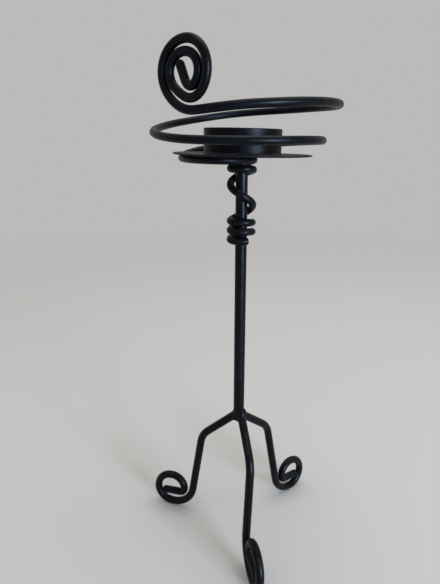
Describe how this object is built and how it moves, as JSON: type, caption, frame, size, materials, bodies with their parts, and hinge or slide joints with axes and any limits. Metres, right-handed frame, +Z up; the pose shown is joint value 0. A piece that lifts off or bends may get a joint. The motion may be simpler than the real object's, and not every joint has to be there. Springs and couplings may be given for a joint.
{
  "type": "torchere candle stand",
  "caption": "Scroll-footed tripod stand of round rod with a drip pan and a tealight cup, ringed by one wound wire that ends in an upright scroll.",
  "frame": {"origin": "centre of the overall box seen from above, on the plane the three feet stand on", "axes": "+Z up along the stem, -Y towards the viewer of the picture, +X to the viewer's right"},
  "size_m": [0.1086, 0.1078, 0.2905],
  "materials": {
    "rod_paint": "satin black paint on round steel rod",
    "wire_paint": "satin black paint on round steel wire",
    "sheet_paint": "satin black paint on thin steel sheet",
    "weld_paint": "satin black paint over weld beads"
  },
  "bodies": {
    "root": {"stem": "rod_paint", "left_leg": "rod_paint", "right_leg": "rod_paint", "front_leg": "rod_paint", "scroll_wire": "wire_paint", "drip_pan": "sheet_paint", "candle_cup": "sheet_paint", "left_leg_weld": "weld_paint", "right_leg_weld": "weld_paint", "front_leg_weld": "weld_paint", "wire_tail_weld": "weld_paint", "wire_top_weld": "weld_paint", "pan_weld": "weld_paint", "cup_weld": "weld_paint"}
  },
  "joints": []
}
